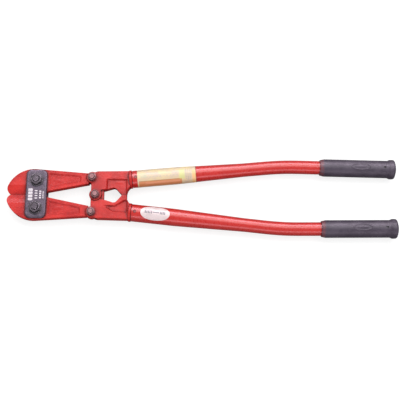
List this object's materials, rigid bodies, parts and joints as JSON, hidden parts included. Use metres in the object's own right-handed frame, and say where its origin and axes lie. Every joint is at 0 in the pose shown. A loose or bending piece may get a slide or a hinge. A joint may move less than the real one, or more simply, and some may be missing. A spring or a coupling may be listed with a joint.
{
  "type": "bolt cutters",
  "caption": "Bolt cutter lying closed: two short forged jaws on link plates, a jointed yoke on each handle, bent tubular handles with dark rubber grips.",
  "frame": {"origin": "middle of the tool's length and width, on the surface that its rear bolt heads rest on", "axes": "+X from the jaws to the handle ends, +Y towards the upper handle, +Z out of the front link plate"},
  "size_m": [0.608, 0.1258, 0.0359],
  "materials": {
    "jaw_paint": "satin red paint over forged steel",
    "handle_paint": "satin red paint",
    "link_steel": "dark blackened steel",
    "fastener_steel": "dark zinc-plated steel",
    "washer_steel": "blackened steel",
    "grip_rubber": "matte moulded rubber"
  },
  "bodies": {
    "lower_handle": {"lower_yoke": "handle_paint", "lower_tube": "handle_paint", "lower_tube_pin": "fastener_steel", "lower_grip": "grip_rubber", "lower_eye_bolt": "fastener_steel", "lower_eye_nut": "fastener_steel", "lower_eye_washer": "washer_steel", "centre_bolt": "fastener_steel", "centre_nut": "fastener_steel", "centre_washer": "washer_steel"},
    "upper_handle": {"upper_yoke": "handle_paint", "upper_tube": "handle_paint", "upper_tube_pin": "fastener_steel", "upper_grip": "grip_rubber", "upper_eye_bolt": "fastener_steel", "upper_eye_nut": "fastener_steel", "upper_eye_washer": "washer_steel"},
    "upper_jaw": {"upper_jaw": "jaw_paint"},
    "lower_jaw": {"lower_jaw": "jaw_paint"},
    "links": {"front_link_plate": "link_steel", "rear_link_plate": "link_steel", "upper_jaw_bolt": "fastener_steel", "upper_jaw_nut": "fastener_steel", "upper_jaw_front_washer": "washer_steel", "upper_jaw_rear_washer": "washer_steel", "lower_jaw_bolt": "fastener_steel", "lower_jaw_nut": "fastener_steel", "lower_jaw_front_washer": "washer_steel", "lower_jaw_rear_washer": "washer_steel"}
  },
  "joints": [
    {"name": "handle_hinge", "type": "hinge", "parent": "lower_handle", "child": "upper_handle", "pos_m": [-0.1665, 0, 0.0172], "axis": [0, 0, 1], "range_deg": [0, 90]},
    {"name": "upper_jaw_hinge", "type": "hinge", "parent": "upper_handle", "child": "upper_jaw", "pos_m": [-0.172, 0.0277, 0.0172], "axis": [0, 0, 1], "range_deg": [-53, 0]},
    {"name": "lower_jaw_hinge", "type": "hinge", "parent": "lower_handle", "child": "lower_jaw", "pos_m": [-0.172, -0.0277, 0.0172], "axis": [0, 0, 1], "range_deg": [0, 53]},
    {"name": "link_hinge", "type": "hinge", "parent": "upper_jaw", "child": "links", "pos_m": [-0.258, 0.0222, 0.0172], "axis": [0, 0, 1], "range_deg": [0, 8]}
  ],
  "couplings": [
    {"joint": "upper_jaw_hinge", "follows": "handle_hinge", "ratio": -0.58874},
    {"joint": "lower_jaw_hinge", "follows": "handle_hinge", "ratio": 0.58874},
    {"joint": "link_hinge", "follows": "handle_hinge", "ratio": 0.088739}
  ]
}
